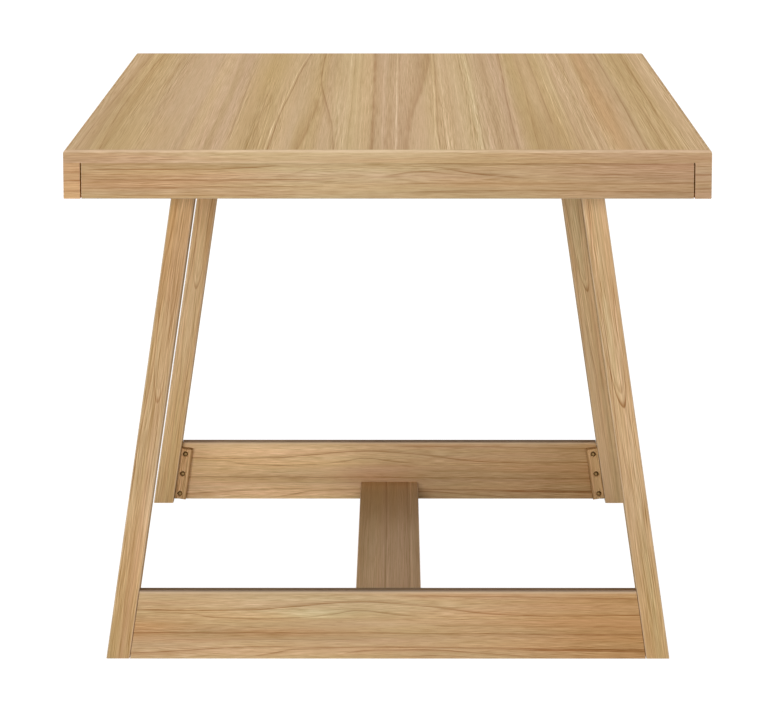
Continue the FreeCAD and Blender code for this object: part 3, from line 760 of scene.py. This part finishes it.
FRONT_PATCHES = (
    (PALE_GREEN, (0.36, 0.65), 0.10, 0.10, 0.9),
    (PALE_GREEN, (0.34, 0.80), 0.34, 0.30, 0.50),
    (BRIGHT, (0.20, 0.66), 0.24, 0.20, 0.40),
    (BRIGHT, (0.24, 0.08), 0.34, 0.26, 0.45),
    (BRIGHT, (0.60, 0.60), 0.20, 0.80, 0.25),
    (REDDISH, (0.0, 0.45), 0.18, 0.26, 0.9),
    (REDDISH, (0.28, 0.40), 0.18, 0.12, 0.6),
    (REDDISH, (1.00, 0.50), 0.50, 1.20, 0.9),
    (DEEPER, (1.00, 0.60), 0.34, 1.00, 1.0),
    (DEEPER, (1.00, 0.10), 0.30, 0.50, 1.0),
    (OLIVE, (1.00, 0.50), 0.30, 1.50, 0.7),
)
# the first patch, pale over the left part of the back stretcher, is painted light
BACK_PATCHES = (
    (BRIGHT, (0.0, 0.55), 0.72, 1.60, 0.92),
    (BRIGHT, (0.26, 0.75), 0.26, 0.36, 0.5),
    (BRIGHT, (0.26, 0.00), 0.26, 0.40, 1.0),
    (DUSKY, (0.48, 0.42), 0.16, 0.32, 0.8),
    (REDDISH, (1.00, 0.40), 0.55, 0.80, 0.5),
    (DEEPER, (1.00, 0.60), 0.40, 1.20, 1.0),
    (OLIVE, (1.00, 0.50), 0.20, 1.50, 0.8),
)
LEG_LINES = (
    (((0.30, 0.07), (0.38, 0.07), (0.49, 0.157), (0.62, 0.25), (0.75, 0.125), (0.85, 0.25),
      (0.94, 0.31)), -0.10, 0.20),
    (((0.60, 0.72), (0.64, 0.72), (0.69, 0.75), (0.76, 0.94)), 0.08, 0.22),
    (((0.04, 0.53), (0.20, 0.45), (0.29, 0.45), (0.35, 0.375), (0.46, 0.28)), -0.08, 0.18),
    (((0.02, 0.80), (0.20, 0.76), (0.42, 0.78), (0.52, 0.72)), -0.08, 0.14),
)
LEG_EYES = {
    "front_left": (((0.616, 0.52), 0.104, 0.27, -0.10, 0.20),),
    "front_right": (((0.607, 0.46), 0.112, 0.32, -0.10, 0.34),),
    "back_left": (((0.614, 0.52), 0.104, 0.27, -0.10, 0.20),),
    "back_right": (((0.600, 0.52), 0.104, 0.27, -0.10, 0.24),),
}
# the BRIGHT patches that reach the tops of the legs are partly painted light, lifting the shade
# under the apron
LEG_PATCHES = {
    "front_left": ((ROSY, (0.80, 0.3), 0.45, 1.5, 1.0), (ROSY, (0.15, 0.6), 0.25, 1.5, 0.8),
                   (BRIGHT, (1.05, 0.4), 0.35, 2.0, 0.45), (BRIGHT, (0.30, 0.9), 0.30, 0.8, 0.35),
                   (OLIVE, (1.00, 0.5), 0.35, 2.0, 1.0), (DEEPER, (0.00, 0.0), 0.15, 1.0, 0.8),
                   (AMBER, (0.03, 0.5), 0.30, 2.0, 0.45)),
    "front_right": ((BRIGHT, (1.10, 0.5), 0.70, 2.0, 0.8), (BRIGHT, (0.50, 0.5), 0.35, 2.0, 0.35),
                    (BRIGHT, (0.95, 0.5), 0.30, 2.0, 0.2),
                    (BRIGHT, (0.00, 0.5), 0.30, 2.0, 0.2),
                    (OLIVE, (0.05, 0.5), 0.30, 1.5, 1.0), (AMBER, (0.03, 0.5), 0.30, 2.0, 0.2)),
    "back_left": ((BRIGHT, (0.38, 0.5), 0.50, 2.0, 0.62), (GOLDEN, (0.72, 0.5), 0.25, 2.0, 1.0),
                  (OLIVE, (0.10, 0.5), 0.35, 2.0, 1.0), (AMBER, (0.05, 0.5), 0.25, 2.0, 0.2)),
    "back_right": ((BRIGHT, (0.75, 0.5), 0.60, 2.0, 0.60), (BRIGHT, (0.10, 0.5), 0.40, 2.0, 0.3),
                   (DEEPER, (0.05, 0.8), 0.3, 1.0, 0.2)),
}
# painted shade: a dark strip along each cleat's inner edge
CLEAT_PATCHES = {
    "left": ((CLEAT_EDGE_SHADE, (0.5, 0.62), 3.0, 0.18, 1.0),),
    "right": ((CLEAT_EDGE_SHADE, (0.5, 0.38), 3.0, 0.18, 1.0),),
}
CENTRE_LINES = (
    (((0.0, 0.455), (0.5, 0.460), (1.0, 0.450)), -0.050, 0.26),
    (((0.0, 0.475), (0.5, 0.480), (1.0, 0.470)), 0.020, -0.20),
    (((0.3, 0.640), (0.7, 0.650), (1.0, 0.645)), 0.030, -0.08),
    (((0.0, 0.86), (0.5, 0.87), (1.0, 0.86)), 0.10, -0.16),
    (((0.0, 0.83), (0.5, 0.84), (1.0, 0.83)), -0.040, 0.14),
)
# painted light and shade: paler towards the near end, darker and warmer towards the far end,
# darkest at its left side there
CENTRE_PATCHES = (
    (REDDISH, (1.0, 0.4), 0.5, 1.2, 0.4),
    (AMBER, (1.0, 0.4), 0.45, 1.2, 0.9),
    (DEEPER, (0.8, 0.0), 0.7, 0.4, 1.2),
    (BRIGHT, (0.0, 0.5), 0.8, 1.5, 1.0),
)

# ---- looks: how each kind of board differs from plain oak ----
# the top's tint is paler and bluer than the wood alone: partly its tone, partly painted sheen
# spread evenly, as the finish itself is matte
TOP = dict(seed=2.0, stretch=5.0, streaks=0.54, fibres=0.72, rings=0.10, ring_width=9.0,
           mottle=0.3, bands=TOP_BANDS, patches=TOP_PATCHES, lines=TOP_LINES, figure=1.1,
           tint=(1.135, 1.183, 1.274))
END_LIPPING = dict(streaks=0.36, ring_width=5.0, patches=LIPPING_PATCHES,
                   tint=(1.09, 1.12, 1.18))
SIDE_LIPPING = dict(ring_width=5.0, edge_wear_and_highlight=0.1)
END_APRON = dict(waver=1.5, streaks=0.28, rings=0.40, ring_width=6.0, patches=APRON_PATCHES,
                 lines=APRON_LINES, figure=1.2, tint=(0.96, 0.98, 0.995), end_tint=GAP_BOUNCE_LIGHT)
SIDE_APRON = dict(rings=0.6, ring_width=5.5, figure=1.2, wrapped=True,
                  tint=(1.02, 0.97, 0.96), inner_tint=GAP_BOUNCE_LIGHT)
# the stretchers' tops are darkened with painted shade
END_STRETCHER = dict(seed=31.0, waver=1.5, streaks=0.28, rings=0.25, ring_width=9.0,
                     lines=STRETCHER_LINES, figure=1.25, edge_wear_and_highlight=0.5, end_tint=GAP_BOUNCE_LIGHT,
                     painted_top_shade=(0.47, 0.47, 0.52))
# the centre stretcher's tint is paler and bluer than the wood alone: partly its tone, partly
# painted sheen spread evenly
CENTRE_STRETCHER = dict(seed=91.0, stretch=5.0, waver=2.0, streaks=0.3, fibres=0.45, rings=0.3,
                        mottle=0.3, patches=CENTRE_PATCHES, lines=CENTRE_LINES, figure=0.8,
                        tint=(1.15, 1.19, 1.35))
LEG = dict(stretch=1.5, waver=1.2, streaks=0.6, fibres=1.1, rings=0.30, ring_width=6.0,
           mottle=1.2, lines=LEG_LINES, figure=1.4, edge_wear_and_highlight=0.5)
# the cleats' side faces are made paler with painted light
CLEAT = dict(streaks=1.2, rings=0.9, ring_width=4.0, edge_wear_and_highlight=0.0, bump=0.5,
             tint=(1.15, 1.08, 1.02), painted_side_light=(1.20, 1.18, 1.10))

# ---- sizes read from the frame, but for the legs' level width ----
LEG_WIDTH = 34 * MM
half_width = cad_box[1].x
half_length = cad_box[1].y
top_z = cad_box[1].z
apron_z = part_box("side_apron_right")[0].z
leg_low, leg_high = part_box("leg_back_right")
lean = math.atan((leg_high.x - leg_low.x - LEG_WIDTH) / (leg_high.z - leg_low.z))
leg_run = (leg_high.z - leg_low.z) / math.cos(lean)


# ---- dress every node ----
def dress(node, material):
    """Gives a CAD node one material on all its faces."""
    mesh = nodes[node].data
    if not mesh.materials:
        mesh.materials.append(material)
    for index in range(len(mesh.materials)):
        mesh.materials[index] = material


def dress_board(node, board, wood="oak", **look):
    """Gives a CAD node wood of its own, which runs as its board lies."""
    dress(node, oak(f"{wood}_{node}", board, **look))


def box_board(node, grain, across, from_top=False):
    """A board as large as a node's box, with its grain and its width along two axes."""
    low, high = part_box(node)
    sizes = [b - a for a, b in zip(low, high)]
    length, width = [sum(size * part for size, part in zip(sizes, axis))
                     for axis in (grain, across)]
    return Board((low.x, low.y, high.z if from_top else low.z), grain, across, length, width)


def dress_end(number, end, sign):
    """The boards across one end of the table; sign is -1 in front and 1 at the back."""
    corner = (sign * half_width, sign * half_length, apron_z)
    board = Board(corner, X * -sign, Z, 2 * half_width, top_z - apron_z)
    dress_board(f"lipping_{end}", board, seed=SEEDS["end_lipping"] + number, **END_LIPPING)
    dress_board(f"end_apron_{end}", board, seed=SEEDS["end_apron"] + number, **END_APRON)
    stretcher = f"end_stretcher_{end}"
    patches = FRONT_PATCHES if end == "front" else BACK_PATCHES
    dress_board(stretcher, box_board(stretcher, X, Z), patches=patches, **END_STRETCHER)
    rail = f"cross_rail_{end}"
    dress_board(rail, box_board(rail, X, Z), "pine", seed=SEEDS["cross_rail"] + number,
                tint=PINE)


def dress_side(number, side, sign):
    """The boards along one side of the table; sign is -1 on the left and 1 on the right."""
    corner = (sign * half_width, -sign * half_length, apron_z)
    board = Board(corner, Y * sign, Z, 2 * half_length, top_z - apron_z)
    dress_board(f"lipping_{side}", board, seed=SEEDS["side_lipping"] + number, **SIDE_LIPPING)
    dress_board(f"side_apron_{side}", board, seed=SEEDS["side_apron"] + number,
                lines=SIDE_APRON_LINES[side], patches=SIDE_APRON_PATCHES[side], **SIDE_APRON)


def dress_corner(number, name, side, sign):
    """A leg, with the cleat at its foot and the block in the apron corner above it."""
    up = Vector((-sign * math.sin(lean), 0, math.cos(lean)))
    right = Vector((math.cos(lean), 0, sign * math.sin(lean)))
    left_edge = leg_high.x - LEG_WIDTH if sign > 0 else -leg_high.x
    face_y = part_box(f"leg_{name}")[0].y
    board = Board((left_edge, face_y, 0), up, right, leg_run, LEG_WIDTH * math.cos(lean))
    dress_board(f"leg_{name}", board, seed=SEEDS["leg"] + number, patches=LEG_PATCHES[name],
                eyes=LEG_EYES[name], **LEG)
    low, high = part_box(f"stretcher_cleat_{name}")
    board = Board(low, up, right, high.z - low.z, high.x - low.x)
    dress_board(f"stretcher_cleat_{name}", board, seed=SEEDS["cleat"] + number,
                patches=CLEAT_PATCHES[side], **CLEAT)
    block = f"corner_block_{name}"
    dress_board(block, box_board(block, Z, X), "pine", seed=SEEDS["corner_block"] + number,
                tint=PINE)


top_corner = (-half_width, -half_length, top_z)
dress_board("top_panel", Board(top_corner, Y, X, 2 * half_length, 2 * half_width), **TOP)
for number, (end, sign) in enumerate((("front", -1), ("back", 1))):
    dress_end(number, end, sign)
for number, (side, sign) in enumerate((("left", -1), ("right", 1))):
    dress_side(number, side, sign)
    for place, end in enumerate(("front", "back")):
        dress_corner(2 * number + place, f"{end}_{side}", side, sign)
dress_board("centre_stretcher", box_board("centre_stretcher", Y, X, from_top=True),
            **CENTRE_STRETCHER)
dress_board("centre_batten", box_board("centre_batten", Y, X), "pine", seed=SEEDS["batten"],
            tint=PINE)

# the dowels share one plain pale wood
beech = oak("beech_dowel", Board((0, 0, 0), Z, X, 1.0, 1.0), seed=SEEDS["dowel"], tint=PINE)
for node in ("rail_dowels", "apron_dowels", "stretcher_dowels"):
    dress(node, beech)
dress("cleat_face_screws", metal("bronze_screw", BRONZE, BRONZE_ROUGHNESS))
zinc = metal("zinc_plate", ZINC, ZINC_ROUGHNESS)
for node in ("cleat_leg_screws", "rail_bolts", "rail_barrel_nuts", "rail_screws",
             "batten_screws", "corner_block_screws", "leg_brackets", "bracket_screws",
             "stretcher_cam_locks", "stretcher_cam_bolts"):
    dress(node, zinc)


# ---- stage: floor, world, lamps, camera ----
def put_in_scene(name, data):
    """A new object with this data."""
    made = bpy.data.objects.new(name, data)
    bpy.context.scene.collection.objects.link(made)
    return made


def seen_directly(g):
    """1 for rays from the camera, a mirror or glass, and 0 for light."""
    path = g.node("ShaderNodeLightPath").outputs
    glass = g.math("MAXIMUM", path["Is Glossy Ray"], path["Is Transmission Ray"])
    return g.math("MAXIMUM", path["Is Camera Ray"], glass)


def make_floor():
    """A wide pale floor. It is seen white, with the table's soft shadow on it."""
    half = FLOOR_HALF_SIZE
    mesh = bpy.data.meshes.new("floor")
    corners = [(-half, -half, 0), (half, -half, 0), (half, half, 0), (-half, half, 0)]
    mesh.from_pydata(corners, [], [(0, 1, 2, 3)])
    floor = put_in_scene("floor", mesh)
    made = bpy.data.materials.new("floor_white")
    g = Graph(made)
    lit = g.node("ShaderNodeBsdfDiffuse")
    lit.inputs["Color"].default_value = (FLOOR_GREY, FLOOR_GREY, FLOOR_GREY, 1)
    white = g.node("ShaderNodeEmission")
    white.inputs["Strength"].default_value = FLOOR_WHITE
    mixed = g.node("ShaderNodeMixShader")
    g.feed(mixed.inputs[0], g.times(seen_directly(g), 1 - FLOOR_SHADOW_SHARE))
    g.feed(mixed.inputs[1], lit.outputs[0])
    g.feed(mixed.inputs[2], white.outputs[0])
    g.show(mixed)
    mesh.materials.append(made)


def make_world():
    """White to the camera, an even soft grey as light."""
    world = bpy.data.worlds.new("studio")
    bpy.context.scene.world = world
    g = Graph(world)
    background = g.node("ShaderNodeBackground")
    background.inputs["Color"].default_value = (1, 1, 1, 1)
    g.feed(background.inputs["Strength"], g.ramp(seen_directly(g), 0.0, 1.0, WORLD_LIGHT, 1.0))
    g.show(background, "ShaderNodeOutputWorld")


def make_lamps():
    """Wide soft suns, which light the whole table evenly."""
    for name, turn, rise, spread, strength in SUNS:
        data = bpy.data.lights.new(name, "SUN")
        data.energy = math.pi * strength
        data.angle = math.radians(spread)
        lamp = put_in_scene(name, data)
        turn = math.radians(turn)
        rise = math.radians(rise)
        source = Vector((math.sin(turn) * math.cos(rise), -math.cos(turn) * math.cos(rise),
                         math.sin(rise)))
        lamp.rotation_euler = (-source).to_track_quat("-Z", "Y").to_euler()


def make_camera():
    """A long lens on one short end of the table, from the photograph's height."""
    data = bpy.data.cameras.new("camera")
    data.sensor_width = SENSOR_MM
    data.lens = LENS_MM
    data.clip_end = CLIP_END
    camera = put_in_scene("camera", data)
    camera.location = CAMERA_PLACE
    camera.rotation_euler = (math.pi / 2 - CAMERA_PITCH, 0, CAMERA_YAW)
    bpy.context.scene.camera = camera


make_floor()
make_world()
make_lamps()
make_camera()
bpy.context.scene.view_settings.view_transform = "Standard"
